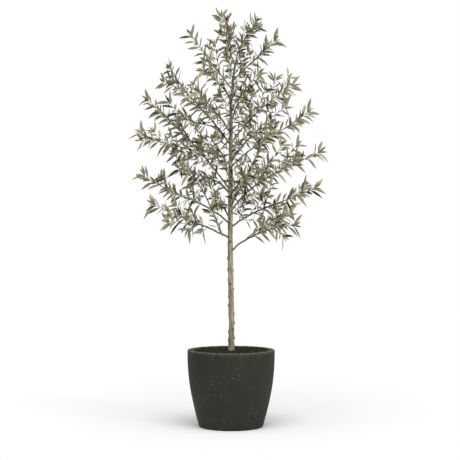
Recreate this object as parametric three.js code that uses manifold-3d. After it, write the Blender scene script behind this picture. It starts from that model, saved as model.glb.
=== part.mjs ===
// A young olive tree grown as a standard in a round planter, in millimetres, +Z up.
// The origin is the centre of the planter's flat underside, which stands on the floor. -Y is the front.
// Separate solids: the planter, the compost in it, the trunk, each bough and each spray of foliage.

import * as THREE from "three";
import { mergeVertices } from "three/addons/utils/BufferGeometryUtils.js";
import Module from "manifold-3d";

// ---------------------------------------------------------------- driving sizes

const GAP = 0.35; // clearance between pieces that touch
const WELD = 0.001; // corners closer than this are one corner
const UP = new THREE.Vector3(0, 0, 1);

const POT = {
  height: 351,
  rimRadius: 200,
  footRadius: 145, // where the sides would meet the floor, before the edge is rounded
  bellyTop: 335, // above this height the sides stand straight
  footRound: 13,
  lipRound: 4,
  mouthRadius: 173,
  wallAtFoot: 22,
  floorThickness: 24,
  sides: 40,
  outerRings: 6,
  innerRings: 4,
  footSteps: 3,
  lipSteps: 3,
  mouthSteps: 2,
  mouthTurn: 165, // where the inner half of the lip's round meets the sloping wall, in degrees
};

const COMPOST = {
  belowRim: 8,
  moundBelowRim: 3,
  moundRadius: 34,
  moundShares: [0.67, 0.33], // rings of the mound's slope, as shares of the way out to its edge
  wallRings: 4,
  clearance: 1.3,
};

const TRUNK = {
  sides: 12,
  rings: 14,
  flareRadius: 17,
  flareHeight: 22,
  radiusLow: 12,
  radiusTop: 4.2,
  taperPower: 2.1,
  toes: 3, // lobes of the root flare
  toeDepth: 0.1,
  bisections: 24,
  // sideways wander of the centre line: height above the floor, x, y
  wander: [
    [348, 0, 0],
    [480, 2, 1],
    [750, -3, -1],
    [1100, -3, 2],
    [1400, 0, -1],
    [1545, 2, 0],
    [1590, 13, 1],
    [1660, 19, 0],
  ],
};

const LIMB = {
  sides: 6,
  rings: 5,
  lineSteps: 8,
  radiusLow: 4.4,
  radiusHigh: 3.0,
  taper: 0.62,
  forkFoot: 0.72, // foot of a bough that leaves another bough, against one that leaves the trunk
};

// A spray's half width swells and sinks along it as a sine, shaped by two powers. Two waves round it and
// along it make it uneven: the first is the whole of the unevenness, the second the share "crossWave" of it.
const SPRAY = {
  sides: 8,
  rings: 7,
  leafTip: 42,
  endRadius: 9,
  swellShift: 0.8,
  swellPower: 0.62,
  unevenness: 0.16,
  firstWave: { round: 3, along: 5, turn: 1.7 },
  crossWave: { round: 2, along: 9, turn: 2.3, share: 0.7 },
};

// One row per bough, from the lowest up. A bough leaves the trunk at a height, or another bough at a
// share of its length ("on"). Its tip is "reach" from the trunk's line, towards "azimuth" (degrees from +X
// to +Y), at the height "top". "leaves" and "ends" are its slopes at its two ends, in degrees. It is bare
// for the share "bare" of its length, and "full" is the half width of its spray of leaves.
const BOUGHS = [
  { at: 796, azimuth: -18, reach: 300, top: 919, leaves: 49, ends: 4, bare: 0.36, full: 50 },
  { on: 1, at: 0.3, azimuth: 28, reach: 312, top: 972, leaves: 40, ends: 25, bare: 0.22, full: 46 },
  { at: 859, azimuth: 202, reach: 372, top: 1013, leaves: 30, ends: 28, bare: 0.3, full: 54 },
  { on: 3, at: 0.12, azimuth: 135, reach: 383, top: 1261, leaves: 60, ends: 28, bare: 0.36, full: 52 },
  { at: 908, azimuth: -18, reach: 395, top: 1086, leaves: 41, ends: 26, bare: 0.3, full: 52 },
  { at: 922, azimuth: 169, reach: 412, top: 1153, leaves: 50, ends: 40, bare: 0.32, full: 52 },
  { at: 940, azimuth: 253, reach: 215, top: 1040, leaves: 45, ends: 30, bare: 0.4, full: 44 },
  { at: 977, azimuth: 12, reach: 418, top: 1260, leaves: 62, ends: 26, bare: 0.32, full: 54 },
  { at: 1000, azimuth: -64, reach: 380, top: 1355, leaves: 42, ends: 50, bare: 0.3, full: 50 },
  { at: 1020, azimuth: 66, reach: 400, top: 1200, leaves: 45, ends: 25, bare: 0.34, full: 50 },
  { at: 1045, azimuth: -80, reach: 300, top: 1130, leaves: 38, ends: 30, bare: 0.34, full: 44 },
  { at: 1057, azimuth: 236, reach: 400, top: 1164, leaves: 45, ends: 15, bare: 0.32, full: 50 },
  { at: 1078, azimuth: 162, reach: 410, top: 1508, leaves: 55, ends: 40, bare: 0.34, full: 50 },
  { on: 13, at: 0.3, azimuth: 193, reach: 415, top: 1337, leaves: 45, ends: 40, bare: 0.18, full: 50 },
  { at: 1130, azimuth: 112, reach: 390, top: 1330, leaves: 48, ends: 30, bare: 0.3, full: 50 },
  { at: 1183, azimuth: -18, reach: 363, top: 1431, leaves: 50, ends: 40, bare: 0.26, full: 48 },
  { at: 1206, azimuth: -50, reach: 370, top: 1432, leaves: 46, ends: 20, bare: 0.26, full: 46 },
  { at: 1284, azimuth: 162, reach: 296, top: 1655, leaves: 60, ends: 65, bare: 0.26, full: 46 },
  { on: 18, at: 0.22, azimuth: 219, reach: 350, top: 1465, leaves: 8, ends: 55, bare: 0.2, full: 44 },
  { at: 1293, azimuth: 25, reach: 318, top: 1575, leaves: 56, ends: 30, bare: 0.26, full: 48 },
  { at: 1330, azimuth: 245, reach: 330, top: 1500, leaves: 48, ends: 35, bare: 0.28, full: 42 },
  { at: 1380, azimuth: 78, reach: 300, top: 1590, leaves: 50, ends: 40, bare: 0.26, full: 44 },
  { at: 1440, azimuth: -62, reach: 250, top: 1590, leaves: 50, ends: 35, bare: 0.24, full: 40 },
  { at: 1485, azimuth: 240, reach: 240, top: 1605, leaves: 55, ends: 20, bare: 0.24, full: 38 },
  { at: 1547, azimuth: 198, reach: 190, top: 1779, leaves: 50, ends: 52, bare: 0.2, full: 42 },
  { at: 1587, azimuth: -15, reach: 205, top: 1758, leaves: 45, ends: 42, bare: 0.22, full: 42 },
  { at: 1656, azimuth: 200, reach: 45, top: 1874, leaves: 62, ends: 78, bare: 0.12, full: 42 },
  { at: 1656, azimuth: 12, reach: 106, top: 1839, leaves: 68, ends: 58, bare: 0.16, full: 40 },
];

// ---------------------------------------------------------------- materials

const finish = (color, roughness) => new THREE.MeshStandardMaterial({ color, roughness, metalness: 0 });
const planterClay = finish(0x373730, 0.8);
const compostDark = finish(0x2b2a25, 0.95);
const bark = finish(0x8f8b76, 0.85);
const leafGrey = finish(0x82806c, 0.6);

// ---------------------------------------------------------------- solids and meshes

const wasm = await Module();
wasm.setup();

// A closed geometry as a solid that can be joined and cut.
function solidOf(geometry) {
  const bare = new THREE.BufferGeometry();
  bare.setAttribute("position", geometry.getAttribute("position"));
  bare.setIndex(geometry.getIndex());
  const merged = mergeVertices(bare, WELD);
  return new wasm.Manifold(
    new wasm.Mesh({
      numProp: 3,
      vertProperties: merged.getAttribute("position").array,
      triVerts: new Uint32Array(merged.getIndex().array),
    }),
  );
}

// The largest of the bodies that a cut leaves, as a geometry measured from the point "from".
function geometryOf(solid, from) {
  const whole = solid.decompose().sort((a, b) => b.volume() - a.volume())[0];
  const { vertProperties, triVerts } = whole.getMesh();
  const geometry = new THREE.BufferGeometry();
  geometry.setAttribute("position", new THREE.BufferAttribute(Float32Array.from(vertProperties), 3));
  geometry.setIndex(new THREE.BufferAttribute(Uint32Array.from(triVerts), 1));
  geometry.translate(-from.x, -from.y, -from.z);
  geometry.computeVertexNormals();
  return geometry;
}

function placed(name, geometry, material, at = new THREE.Vector3()) {
  const mesh = new THREE.Mesh(geometry, material);
  mesh.name = name;
  mesh.position.copy(at);
  return mesh;
}

// A closed solid swept along a curve. radiusAt(share, angle) is its radius, and both ends are flat.
function swept(curve, sides, rings, radiusAt) {
  const frames = curve.computeFrenetFrames(rings, false);
  const positions = [];
  const corners = [];
  for (let i = 0; i <= rings; i++) {
    const centre = curve.getPointAt(i / rings);
    for (let j = 0; j < sides; j++) {
      const angle = (2 * Math.PI * j) / sides;
      const radius = radiusAt(i / rings, angle);
      const p = centre
        .clone()
        .addScaledVector(frames.normals[i], radius * Math.cos(angle))
        .addScaledVector(frames.binormals[i], radius * Math.sin(angle));
      positions.push(p.x, p.y, p.z);
    }
  }
  for (const end of [0, 1]) positions.push(...curve.getPointAt(end).toArray());
  const footCentre = (rings + 1) * sides;
  const topCentre = footCentre + 1;
  for (let j = 0; j < sides; j++) {
    const next = (j + 1) % sides;
    for (let i = 0; i < rings; i++) {
      const low = i * sides;
      const high = low + sides;
      corners.push(low + j, low + next, high + next, low + j, high + next, high + j);
    }
    corners.push(footCentre, next, j, topCentre, rings * sides + j, rings * sides + next);
  }
  const geometry = new THREE.BufferGeometry();
  geometry.setAttribute("position", new THREE.Float32BufferAttribute(positions, 3));
  geometry.setIndex(corners);
  return geometry;
}

// ---------------------------------------------------------------- the planter and its compost

// Outer radius of the planter at a height: straight at the rim, then a parabola in to the foot.
function potRadius(z) {
  const below = Math.max(0, POT.bellyTop - z) / POT.bellyTop;
  return POT.rimRadius - (POT.rimRadius - POT.footRadius) * below * below;
}

function cavityRadius(z) {
  const share = z / POT.height;
  const wall = POT.wallAtFoot + (POT.rimRadius - POT.mouthRadius - POT.wallAtFoot) * share;
  return potRadius(z) - wall;
}

// Points of a quarter round about (r, z), from one angle to another, in degrees.
function quarter(r, z, radius, from, to, steps) {
  return Array.from({ length: steps + 1 }, (_, i) => {
    const angle = THREE.MathUtils.degToRad(from + ((to - from) * i) / steps);
    return new THREE.Vector2(r + radius * Math.cos(angle), z + radius * Math.sin(angle));
  });
}

const heights = (low, high, steps) =>
  Array.from({ length: steps + 1 }, (_, i) => low + ((high - low) * i) / steps);

// A profile in the XZ plane turned about Z.
function turned(profile, sides) {
  return new THREE.LatheGeometry(profile, sides).rotateX(Math.PI / 2);
}

function potGeometry() {
  const { height, footRound, lipRound, mouthRadius, mouthTurn, floorThickness } = POT;
  const footCentre = potRadius(footRound) - footRound;
  const outer = heights(2 * footRound, POT.bellyTop, POT.outerRings).map(
    (z) => new THREE.Vector2(potRadius(z), z),
  );
  const inner = heights(floorThickness, height - lipRound, POT.innerRings)
    .reverse()
    .map((z) => new THREE.Vector2(cavityRadius(z), z));
  const profile = [
    new THREE.Vector2(0, 0),
    ...quarter(footCentre, footRound, footRound, -90, 0, POT.footSteps),
    ...outer,
    ...quarter(potRadius(height) - lipRound, height - lipRound, lipRound, 0, 90, POT.lipSteps),
    ...quarter(mouthRadius + lipRound, height - lipRound, lipRound, 90, mouthTurn, POT.mouthSteps),
    ...inner.slice(1),
    new THREE.Vector2(0, floorThickness),
  ];
  return turned(profile, POT.sides);
}

const compostTop = POT.height - COMPOST.moundBelowRim;

function compostGeometry() {
  const edge = POT.height - COMPOST.belowRim;
  const floor = POT.floorThickness + GAP;
  const { moundRadius, clearance, wallRings } = COMPOST;
  const edgeRadius = cavityRadius(edge) - clearance;
  const mound = COMPOST.moundShares.map((share) => {
    const r = moundRadius + (edgeRadius - moundRadius) * share;
    return new THREE.Vector2(r, compostTop - (compostTop - edge) * share * share);
  });
  const profile = [
    new THREE.Vector2(0, floor),
    ...heights(floor, edge, wallRings).map((z) => new THREE.Vector2(cavityRadius(z) - clearance, z)),
    ...mound,
    new THREE.Vector2(moundRadius, compostTop),
    new THREE.Vector2(0, compostTop),
  ];
  return turned(profile, POT.sides);
}

// ---------------------------------------------------------------- the trunk

const trunkFoot = compostTop + GAP;
const trunkTop = TRUNK.wander.at(-1)[0];
const trunkCurve = new THREE.CatmullRomCurve3(
  TRUNK.wander.map(([z, x, y], i) => new THREE.Vector3(x, y, i ? z : trunkFoot)),
);

// Point of the trunk's centre line at a height, by bisection, as the line always rises.
function trunkPoint(z) {
  let low = 0;
  let high = 1;
  for (let i = 0; i < TRUNK.bisections; i++) {
    const middle = (low + high) / 2;
    if (trunkCurve.getPointAt(middle).z < z) low = middle;
    else high = middle;
  }
  return trunkCurve.getPointAt(low);
}

// The trunk tapers slowly up to the crown and faster through it, over a short root flare.
function trunkRadius(z) {
  const share = (z - trunkFoot) / (trunkTop - trunkFoot);
  const taper = TRUNK.radiusLow + (TRUNK.radiusTop - TRUNK.radiusLow) * share ** TRUNK.taperPower;
  const flare = (TRUNK.flareRadius - TRUNK.radiusLow) * Math.exp(-(z - trunkFoot) / TRUNK.flareHeight);
  return taper + flare;
}

function trunkGeometry(extra) {
  const geometry = swept(trunkCurve, TRUNK.sides, TRUNK.rings, (share, angle) => {
    const z = trunkCurve.getPointAt(share).z;
    const low = Math.exp(-(z - trunkFoot) / TRUNK.flareHeight);
    const toes = 1 + TRUNK.toeDepth * Math.cos(TRUNK.toes * angle) * low;
    return trunkRadius(z) * toes + extra;
  });
  // the foot is cut flat and level at the compost
  const position = geometry.getAttribute("position");
  for (let i = 0; i < position.count; i++)
    if (i < TRUNK.sides || i === position.count - 2) position.setZ(i, trunkFoot);
  return geometry;
}

// ---------------------------------------------------------------- boughs and sprays

const tilted = (heading, degrees) => {
  const slope = THREE.MathUtils.degToRad(degrees);
  return heading.clone().multiplyScalar(Math.cos(slope)).addScaledVector(UP, Math.sin(slope));
};

// A bough's line is one Bezier arc from where it leaves to its tip, in an upright plane.
function boughCurve(bough, lines) {
  const start = bough.on ? lines[bough.on - 1].getPointAt(bough.at) : trunkPoint(bough.at);
  const azimuth = THREE.MathUtils.degToRad(bough.azimuth);
  const tip = new THREE.Vector3(Math.cos(azimuth) * bough.reach, Math.sin(azimuth) * bough.reach, bough.top);
  const heading = tip.clone().sub(start).setZ(0).normalize();
  const handle = tip.distanceTo(start) / 3;
  return new THREE.CubicBezierCurve3(
    start,
    start.clone().addScaledVector(tilted(heading, bough.leaves), handle),
    tip.clone().addScaledVector(tilted(heading, bough.ends), -handle),
    tip,
  );
}

// The stretch of a line between two shares, carried on straight past its tip by "beyond".
function stretch(line, from, to, beyond = 0) {
  const points = heights(from, to, LIMB.lineSteps).map((share) => line.getPointAt(share));
  if (beyond) points.push(line.getPointAt(1).addScaledVector(line.getTangentAt(1), beyond));
  return new THREE.CatmullRomCurve3(points, false, "centripetal");
}

function limbGeometry(bough, line, extra) {
  const height = (line.getPointAt(0).z - BOUGHS[0].at) / (trunkTop - BOUGHS[0].at);
  const onTrunk = LIMB.radiusLow + (LIMB.radiusHigh - LIMB.radiusLow) * height;
  const foot = bough.on ? onTrunk * LIMB.forkFoot : onTrunk;
  const piece = stretch(line, 0, bough.bare);
  return swept(piece, LIMB.sides, LIMB.rings, (share) => {
    const along = share * bough.bare;
    return foot * (1 - LIMB.taper * along) + extra;
  });
}

// A spray is a spindle round the leafy part of its bough, uneven in a way of its own.
function sprayGeometry(bough, line, number, extra) {
  const piece = stretch(line, bough.bare, 1, SPRAY.leafTip);
  const { endRadius, firstWave, crossWave } = SPRAY;
  return swept(piece, SPRAY.sides, SPRAY.rings, (share, angle) => {
    const body = Math.sin(Math.PI * share ** SPRAY.swellShift) ** SPRAY.swellPower;
    const round = Math.sin(firstWave.round * angle + firstWave.turn * number);
    const first = round * Math.cos(firstWave.along * share + number);
    const cross = Math.sin(crossWave.round * angle - crossWave.along * share + crossWave.turn * number);
    const uneven = 1 + SPRAY.unevenness * (first + crossWave.share * cross);
    return endRadius + (bough.full - endRadius) * body * uneven + extra;
  });
}

// ---------------------------------------------------------------- the assembly

const tree = new THREE.Group();
tree.name = "potted_olive_tree";
tree.add(placed("planter", potGeometry(), planterClay));
tree.add(placed("compost", compostGeometry(), compostDark));
tree.add(placed("trunk", trunkGeometry(0), bark));

const lines = [];
for (const bough of BOUGHS) lines.push(boughCurve(bough, lines));

const trunkCutter = solidOf(trunkGeometry(GAP));
const limbs = [];
const limbCutters = [];
BOUGHS.forEach((bough, i) => {
  const limb = limbCutters.reduce(
    (rest, cutter) => rest.subtract(cutter),
    solidOf(limbGeometry(bough, lines[i], 0)).subtract(trunkCutter),
  );
  limbs.push(limb);
  limbCutters.push(solidOf(limbGeometry(bough, lines[i], GAP)));
});

const sprayCutters = [];
const sprays = BOUGHS.map((bough, i) => {
  const cutters = [trunkCutter, ...limbCutters, ...sprayCutters];
  const spray = cutters.reduce(
    (rest, cutter) => rest.subtract(cutter),
    solidOf(sprayGeometry(bough, lines[i], i + 1, 0)),
  );
  sprayCutters.push(solidOf(sprayGeometry(bough, lines[i], i + 1, GAP)));
  return spray;
});

BOUGHS.forEach((bough, i) => {
  const number = String(i + 1).padStart(2, "0");
  const start = lines[i].getPointAt(0);
  const entry = lines[i].getPointAt(bough.bare);
  tree.add(placed("bough_" + number, geometryOf(limbs[i], start), bark, start));
  tree.add(placed("foliage_" + number, geometryOf(sprays[i], entry), leafGrey, entry));
});

export default tree;
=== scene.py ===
"""A young olive tree grown as a standard in a round dark planter.

Every place comes from the CAD frame: the planter's size, the trunk's line, and the line of each bough,
which is fitted through its two solids. The surfaces are worked out with numpy from those.
"""

from collections import namedtuple

import bpy
import numpy as np
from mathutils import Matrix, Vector


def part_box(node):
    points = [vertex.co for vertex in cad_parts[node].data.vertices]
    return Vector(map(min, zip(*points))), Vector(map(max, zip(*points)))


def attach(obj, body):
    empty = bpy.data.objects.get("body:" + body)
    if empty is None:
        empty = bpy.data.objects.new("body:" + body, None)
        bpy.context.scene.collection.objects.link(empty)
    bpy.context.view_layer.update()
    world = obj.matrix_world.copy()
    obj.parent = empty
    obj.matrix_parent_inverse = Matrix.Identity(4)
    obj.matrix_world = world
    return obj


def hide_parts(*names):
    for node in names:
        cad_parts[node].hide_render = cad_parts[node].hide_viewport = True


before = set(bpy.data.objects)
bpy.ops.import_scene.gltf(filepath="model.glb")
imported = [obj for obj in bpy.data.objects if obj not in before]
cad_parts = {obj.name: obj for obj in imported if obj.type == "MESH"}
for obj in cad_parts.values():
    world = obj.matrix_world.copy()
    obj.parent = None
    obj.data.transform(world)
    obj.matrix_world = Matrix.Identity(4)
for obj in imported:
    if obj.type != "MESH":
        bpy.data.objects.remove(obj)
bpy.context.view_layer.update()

bl_info = {
    "name": "Potted Olive Tree",
    "version": (1, 0, 0),
    "blender": (4, 5, 0),
    "location": "3D View > Sidebar > Olive Tree",
    "description": "Builds a young olive tree in a round planter around its CAD frame",
    "category": "Add Mesh",
}

BOUGH_NODES = sorted(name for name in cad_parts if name.startswith("bough_"))
SPRAY_NODES = sorted(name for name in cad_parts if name.startswith("foliage_"))
UP = np.array([0.0, 0.0, 1.0])
TINY = 1e-12

POT_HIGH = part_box("planter")[1]
COMPOST_LOW, COMPOST_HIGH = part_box("compost")
TRUNK_LOW, TRUNK_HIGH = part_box("trunk")

# how finely the turned and swept pieces are divided
PLANTER_COLUMNS = 288
COMPOST_COLUMNS = 160
TRUNK_ROWS = 560
TRUNK_COLUMNS = 72
BOUGH_SIDES = 14
BOUGH_STEP = 0.0035
LEAFY_STEP = 0.005
SHOOT_SIDES = 6
SHOOT_POINTS = 12
FLOOR_SIDES = 96
FLAT_STEPS = 12
FOOT_STEPS = 8
SIDE_STEPS = 60
LIP_STEPS = 7
WALL_STEPS = 40
COMPOST_STEPS = 90

# ---------------------------------------------------------------- settings


def length(name, description, default):
    """A length property in metres."""
    return bpy.props.FloatProperty(
        name=name, description=description, default=default, unit="LENGTH", precision=4
    )


def tint(name, description, default):
    """A linear base colour property."""
    return bpy.props.FloatVectorProperty(
        name=name, description=description, default=default, subtype="COLOR", size=3, min=0.0, max=1.0
    )


def share(name, description, default):
    """A share between nothing and all."""
    return bpy.props.FloatProperty(
        name=name, description=description, default=default, min=0.0, max=1.0, subtype="FACTOR"
    )


def whole(name, description, default):
    """A whole number."""
    return bpy.props.IntProperty(name=name, description=description, default=default, min=0)


class PlanterSettings(bpy.types.PropertyGroup):
    """Sizes and colours of the planter and its compost."""

    belly_top: length("Belly top", "Height above which the sides stand straight", 0.335)
    foot_radius: length("Foot radius", "Radius that the sides would have at the floor", 0.145)
    foot_round: length("Foot rounding", "Radius of the rounded edge at the foot", 0.013)
    lip_round: length("Lip rounding", "Radius of the rounded edges of the lip", 0.004)
    mouth_radius: length("Mouth radius", "Inner radius of the mouth", 0.173)
    clay: tint("Clay", "Colour of the planter's sides", (0.0225, 0.0225, 0.0166))
    # the rim colour is partly real rubbed wear and partly a painted highlight on the lip's top
    rim_wear_and_highlight: tint("Worn rim", "Colour of the rubbed lip", (0.145, 0.138, 0.09))
    compost: tint("Compost", "Colour of the damp compost", (0.021, 0.020, 0.015))
    crumb: tint("Crumbs", "Colour of the drier crumbs", (0.12, 0.11, 0.078))
    crumbs: whole("Crumbs", "Number of loose crumbs", 1500)


class WoodSettings(bpy.types.PropertyGroup):
    """Sizes and colours of the trunk and boughs."""

    ridge: length("Ridge height", "Height of the bark's ridges", 0.0005)
    knot_height: length("Knot height", "How far a pruning scar stands out", 0.0062)
    knot_radius: length("Knot radius", "Radius of a pruning scar", 0.0046)
    bark: tint("Bark", "Colour of the grey bark", (0.284, 0.268, 0.183))
    furrow: tint("Furrows", "Colour in the furrows and scars", (0.05, 0.046, 0.03))
    shoot: tint("Young wood", "Colour of the thin boughs", (0.072, 0.064, 0.038))
    soft: tint("Soft tips", "Colour of this year's shoots towards their tips", (0.18, 0.17, 0.105))
    limb_radius: length("Lower bough radius", "Radius of the lowest boughs where they leave", 0.0040)
    limb_radius_top: length("Upper bough radius", "Radius of the highest boughs where they leave", 0.0026)
    tip_radius: length("Shoot tip radius", "Radius of a shoot at its tip", 0.0007)


class LeafSettings(bpy.types.PropertyGroup):
    """Sizes and colours of the shoots' leaves."""

    leaf_length: length("Leaf length", "Length of a full-grown leaf", 0.058)
    leaf_width: length("Leaf width", "Width of a full-grown leaf", 0.0126)
    node_spacing: length("Leaf spacing", "Distance between pairs of leaves along a shoot", 0.0158)
    shoot_spacing: length("Shoot spacing", "Distance between side shoots along a bough", 0.054)
    shoot_length: length("Shoot length", "Length of the longest side shoots", 0.092)
    shoot_end: share("Shoot end", "Share of its leafy length past which a bough has no side shoots", 0.74)
    spurs: whole("Spurs", "Number of short shoots straight from the trunk", 32)
    buds: share("Buds", "Share of the leaves with a small sprouting bud between them and the shoot", 0.05)
    dark: tint("Dark leaves", "Upper side of the shaded leaves", (0.036, 0.0325, 0.0175))
    middle: tint("Middle leaves", "Upper side of most leaves", (0.18, 0.169, 0.099))
    pale: tint("Pale leaves", "Upper side of the lightest leaves", (0.368, 0.35, 0.238))
    fresh: tint("Fresh leaves", "Upper side of the young leaves at the tips", (0.385, 0.366, 0.25))
    underside: tint("Undersides", "Silvery underside", (0.31, 0.295, 0.2))
    seed: whole("Seed", "Seed of the branching", 22)


class StageSettings(bpy.types.PropertyGroup):
    """The floor, the lights and the camera."""

    floor_radius: length("Floor radius", "Radius of the pale floor", 2.2)
    camera_distance: length("Camera distance", "Distance from the trunk to the camera", 5.645)
    camera_height: length("Camera height", "Height of the camera above the floor", 0.899)
    camera_side: length("Camera side", "How far the camera stands to the right", -0.005)
    lens_mm: bpy.props.FloatProperty(name="Lens", description="Focal length in millimetres", default=96.4)
    daylight: share("Daylight", "Strength of the even light from all round, where the backdrop is 1", 0.33)
    sensor_mm: bpy.props.FloatProperty(name="Sensor", description="Sensor width in millimetres", default=36.0)


# ---------------------------------------------------------------- numpy helpers


def unit(vectors):
    """Each row divided by its length."""
    return vectors / np.maximum(np.linalg.norm(vectors, axis=-1, keepdims=True), TINY)


def node_points(name):
    """The vertices of a CAD node as an array."""
    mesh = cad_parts[name].data
    flat = np.empty(len(mesh.vertices) * 3, np.float32)
    mesh.vertices.foreach_get("co", flat)
    return flat.reshape(-1, 3).astype(float)


def ripple(rng, count, u_waves, v_waves):
    """A smooth random surface of two parameters: the sum of cosines with random wave numbers and phases.
    The wave numbers round the first parameter are whole, so it closes on itself. It has unit spread."""
    m = rng.integers(u_waves[0], u_waves[1] + 1, count)
    k = rng.uniform(v_waves[0], v_waves[1], count) * rng.choice([-1.0, 1.0], count)
    phase = rng.uniform(0, 2 * np.pi, count)

    def surface(u, v):
        return np.sqrt(2 / count) * sum(np.cos(m[i] * u + k[i] * v + phase[i]) for i in range(count))

    return surface


def grid_faces(rows, columns):
    """Quads of a grid whose columns close into a ring. They face outwards where the rows run up."""
    r, c = np.meshgrid(np.arange(rows - 1), np.arange(columns), indexing="ij")
    n = (c + 1) % columns
    quads = np.stack([r * columns + c, r * columns + n, (r + 1) * columns + n, (r + 1) * columns + c], -1)
    return quads.reshape(-1, 4)


def cap_faces(rows, columns):
    """Triangles that close such a grid's two end rings. Its two poles, foot first, follow its vertices."""
    ring = np.arange(columns)
    after = (ring + 1) % columns
    last = (rows - 1) * columns
    foot = np.stack([np.full(columns, rows * columns), after, ring], -1)
    tip = np.stack([np.full(columns, rows * columns + 1), last + ring, last + after], -1)
    return np.concatenate([foot, tip])


def make_object(name, verts, quads, triangles=None, materials=(), slots=None, smooth=True, attributes=None):
    """A mesh object from arrays. slots gives each face's material, quads first, and attributes are
    named values for each vertex."""
    mesh = bpy.data.meshes.new(name)
    triangles = np.empty((0, 3), int) if triangles is None else triangles
    loops = np.concatenate([quads.reshape(-1), triangles.reshape(-1)])
    totals = np.concatenate([np.full(len(quads), 4), np.full(len(triangles), 3)])
    starts = np.concatenate([[0], np.cumsum(totals)[:-1]])
    mesh.vertices.add(len(verts))
    mesh.vertices.foreach_set("co", np.ascontiguousarray(verts, np.float32).reshape(-1))
    mesh.loops.add(len(loops))
    mesh.loops.foreach_set("vertex_index", loops.astype(np.int32))
    mesh.polygons.add(len(totals))
    mesh.polygons.foreach_set("loop_start", starts.astype(np.int32))
    mesh.polygons.foreach_set("use_smooth", np.full(len(totals), smooth))
    for material in materials:
        mesh.materials.append(material)
    if slots is not None:
        mesh.polygons.foreach_set("material_index", slots.astype(np.int32))
    for key, values in (attributes or {}).items():
        layer = mesh.attributes.new(key, "FLOAT", "POINT")
        layer.data.foreach_set("value", np.ascontiguousarray(values, np.float32).reshape(-1))
    mesh.update()
    mesh.validate()
    obj = bpy.data.objects.new(name, mesh)
    bpy.context.scene.collection.objects.link(obj)
    return obj


def keep(obj, slot, *nodes):
    """The piece rides on the one body and stands for its CAD nodes, which it hides. Its slot is not used."""
    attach(obj, "root")
    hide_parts(*nodes)


def tube(path, radii, sides):
    """A round tube along a path, with a pole at each end: each ring is the path's point plus its radius
    times the cosine and sine of the angle along two directions square to the path."""
    tangent = unit(np.gradient(path, axis=0))
    chord = np.abs(path[-1] - path[0])
    reference = np.eye(3)[np.argmin(chord)]
    side = unit(np.cross(tangent, reference))
    other = np.cross(tangent, side)
    angle = np.arange(sides) * 2 * np.pi / sides
    if radii.ndim == 1:
        radii = radii[:, None]
    rings = path[:, None] + radii[..., None] * (
        side[:, None] * np.cos(angle)[None, :, None] + other[:, None] * np.sin(angle)[None, :, None]
    )
    verts = np.concatenate([rings.reshape(-1, 3), path[:1], path[-1:]])
    return verts, grid_faces(len(path), sides), cap_faces(len(path), sides)


def round_rings(values, sides, foot, tip):
    """A value for each point of a tube's path, given to its whole ring, and then the two poles' values."""
    return np.concatenate([np.repeat(values, sides), [foot, tip]])


def join(parts):
    """Joined meshes: the faces of each move on by the vertices before it."""
    offset, verts, quads, triangles = 0, [], [], []
    for v, q, t in parts:
        verts.append(v)
        quads.append(q + offset)
        triangles.append(t + offset)
        offset += len(v)
    return np.concatenate(verts), np.concatenate(quads), np.concatenate(triangles)


# ---------------------------------------------------------------- materials


class Shader:
    """A node material being put together."""

    def __init__(self, name):
        self.material = bpy.data.materials.new(name)
        self.material.use_nodes = True
        self.tree = self.material.node_tree
        self.surface = self.tree.nodes["Principled BSDF"]
        self.place = self.tree.nodes.new("ShaderNodeTexCoord").outputs["Object"]

    def feed(self, socket, value):
        """Links a node's output to a socket, or sets a constant straight on it."""
        if isinstance(value, bpy.types.NodeSocket):
            self.tree.links.new(value, socket)
        elif socket.type == "RGBA":
            socket.default_value = (*value, 1.0)
        else:
            socket.default_value = value

    def node(self, kind, **inputs):
        """A node whose inputs are given by name, with _ for a space."""
        made = self.tree.nodes.new(kind)
        for key, value in inputs.items():
            self.feed(made.inputs[key.replace("_", " ")], value)
        return made

    def noise(self, scale, detail=3.0, rough=0.55, stretch=(1, 1, 1), shift=(0, 0, 0)):
        """Noise of the object's own place, drawn out along an axis by stretch and moved by shift."""
        mapping = self.node("ShaderNodeMapping", Vector=self.place, Scale=stretch, Location=shift)
        return self.node(
            "ShaderNodeTexNoise", Vector=mapping.outputs[0], Scale=scale, Detail=detail, Roughness=rough
        ).outputs["Fac"]

    def ramp(self, value, low, high, start=0.0, end=1.0):
        """The value from low to high, remapped to run from start to end, and held there beyond."""
        return self.node(
            "ShaderNodeMapRange", Value=value, From_Min=low, From_Max=high, To_Min=start, To_Max=end
        ).outputs[0]

    def mix(self, factor, first, second):
        """Two colours mixed by the factor."""
        made = self.tree.nodes.new("ShaderNodeMix")
        made.data_type = "RGBA"
        for index, value in ((0, factor), (6, first), (7, second)):
            self.feed(made.inputs[index], value)
        return made.outputs[2]

    def maths(self, operation, first, second):
        """The sum or product of two values."""
        made = self.tree.nodes.new("ShaderNodeMath")
        made.operation = operation
        self.feed(made.inputs[0], first)
        self.feed(made.inputs[1], second)
        return made.outputs[0]

    def attribute(self, name):
        """A value that the mesh holds at each vertex."""
        made = self.tree.nodes.new("ShaderNodeAttribute")
        made.attribute_name = name
        return made.outputs["Fac"]

    def finish(self, colour, roughness, specular, bump=None, depth=0.0):
        """Puts the colour, roughness, gloss and bump on the surface."""
        self.feed(self.surface.inputs["Base Color"], colour)
        self.feed(self.surface.inputs["Roughness"], roughness)
        self.feed(self.surface.inputs["Specular IOR Level"], specular)
        if bump is not None:
            made = self.node("ShaderNodeBump", Height=bump, Distance=depth, Strength=1.0)
            self.tree.links.new(made.outputs[0], self.surface.inputs["Normal"])
        return self.material


def shaded(colour, factor):
    """A colour made lighter or darker."""
    return tuple(min(1.0, channel * factor) for channel in colour)


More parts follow.
